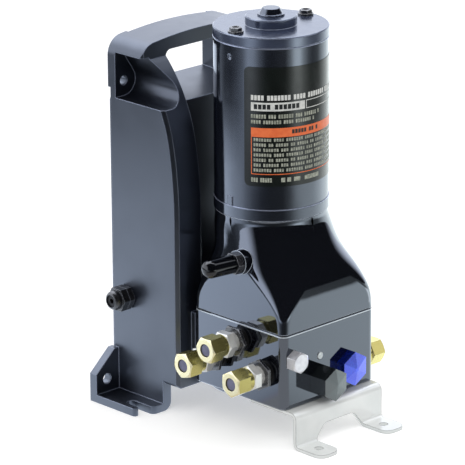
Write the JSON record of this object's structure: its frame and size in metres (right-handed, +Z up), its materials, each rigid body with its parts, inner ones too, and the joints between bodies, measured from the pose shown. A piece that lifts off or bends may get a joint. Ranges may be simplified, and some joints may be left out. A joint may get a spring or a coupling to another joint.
{
  "type": "power assist steering unit",
  "caption": "Marine power assist steering unit: an upright motor over a gear pump and manifold block with tube fittings and plugs, on an electronics case with a carrying handle.",
  "frame": {"origin": "on the floor under the feet, on the motor's axis", "axes": "+Z up along the motor's axis, -Y towards the plugs on the front of the block, +X to the right of it, +Y towards the bulkhead"},
  "size_m": [0.1626, 0.204, 0.306],
  "materials": {
    "black_powder_coat": "semi-gloss",
    "black_gloss_paint": "gloss",
    "black_anodised_aluminium": "satin",
    "blue_anodised_aluminium": "satin",
    "printed_label": "satin",
    "zinc_plated_steel": "plated",
    "black_steel": "black oxide",
    "plated_brass": "nickel plated",
    "brass": "machined",
    "stainless_steel": "brushed",
    "black_nylon": "satin",
    "black_vinyl": "soft gloss",
    "nitrile_rubber": "matte",
    "ground_steel": "ground",
    "lamination_steel": "matte",
    "copper": "enamelled",
    "ferrite": "matte",
    "carbon": "matte",
    "phenolic": "satin",
    "cast_iron": "machined",
    "board_laminate": "satin",
    "black_epoxy": "matte",
    "capacitor_sleeve": "gloss"
  },
  "bodies": {
    "unit": {"electronics_housing": "black_powder_coat", "pump_housing": "black_powder_coat", "rear_cover": "black_powder_coat", "bottom_cover": "black_powder_coat", "motor_can": "black_gloss_paint", "motor_end_cap": "black_gloss_paint", "motor_base_ring": "black_gloss_paint", "bearing_cap": "black_gloss_paint", "manifold_block": "black_anodised_aluminium", "relief_plug": "black_anodised_aluminium", "check_plug": "blue_anodised_aluminium", "motor_label": "printed_label", "hex_plug": "zinc_plated_steel", "dot_plug": "zinc_plated_steel", "housing_screws": "zinc_plated_steel", "block_screws": "zinc_plated_steel", "pump_screws": "zinc_plated_steel", "bracket_screws": "zinc_plated_steel", "cover_screws": "zinc_plated_steel", "board_screws": "zinc_plated_steel", "through_bolts": "black_steel", "rear_cover_screws": "black_steel", "port_locknuts": "black_steel", "vent_body": "black_steel", "port_adaptors": "plated_brass", "tube_nuts": "brass", "tube_sleeves": "brass", "support_bracket": "stainless_steel", "gland_body": "black_nylon", "gland_nut": "black_nylon", "gland_locknut": "black_nylon", "gland_seal": "nitrile_rubber", "port_rings": "nitrile_rubber", "shaft_seal": "nitrile_rubber", "housing_seal": "nitrile_rubber", "rear_gasket": "nitrile_rubber", "idler_pin": "ground_steel", "relief_spring": "ground_steel", "check_spring": "ground_steel", "upper_bearing": "ground_steel", "lower_bearing": "ground_steel", "field_magnets": "ferrite", "carbon_brushes": "carbon", "brush_plate": "phenolic", "gear_pump_body": "cast_iron", "gear_pump_cover": "cast_iron", "control_board": "board_laminate", "power_transistors": "black_epoxy", "terminal_block": "black_epoxy", "filter_capacitors": "capacitor_sleeve"},
    "rotor": {"motor_shaft": "ground_steel", "armature_core": "lamination_steel", "armature_windings": "copper", "commutator": "copper", "shaft_coupling": "ground_steel", "drive_gear": "ground_steel"},
    "idler": {"idler_gear": "ground_steel"},
    "relief_valve": {"relief_poppet": "ground_steel"},
    "check_valve": {"check_poppet": "ground_steel"},
    "vent_cap": {"vent_cap": "black_vinyl"}
  },
  "joints": [
    {"name": "rotor_spin", "type": "hinge", "parent": "unit", "child": "rotor", "pos_m": [0, 0, 0.2], "axis": [0, 0, 1], "continuous": true},
    {"name": "idler_spin", "type": "hinge", "parent": "unit", "child": "idler", "pos_m": [0, -0.025, 0.0966], "axis": [0, 0, 1], "continuous": true},
    {"name": "relief_valve_slide", "type": "slide", "parent": "unit", "child": "relief_valve", "axis": [0, -1, 0], "range_m": [0, 0.003], "stiffness_N_per_m": 3000, "springref_m": -0.002, "deforming": ["relief_spring"]},
    {"name": "check_valve_slide", "type": "slide", "parent": "unit", "child": "check_valve", "axis": [0, -1, 0], "range_m": [0, 0.003], "stiffness_N_per_m": 3000, "springref_m": -0.002, "deforming": ["check_spring"]},
    {"name": "vent_cap_pull", "type": "slide", "parent": "unit", "child": "vent_cap", "axis": [-0.9981, 0, 0.061], "range_m": [0, 0.03]}
  ],
  "couplings": [
    {"joint": "idler_spin", "follows": "rotor_spin", "ratio": -1}
  ]
}
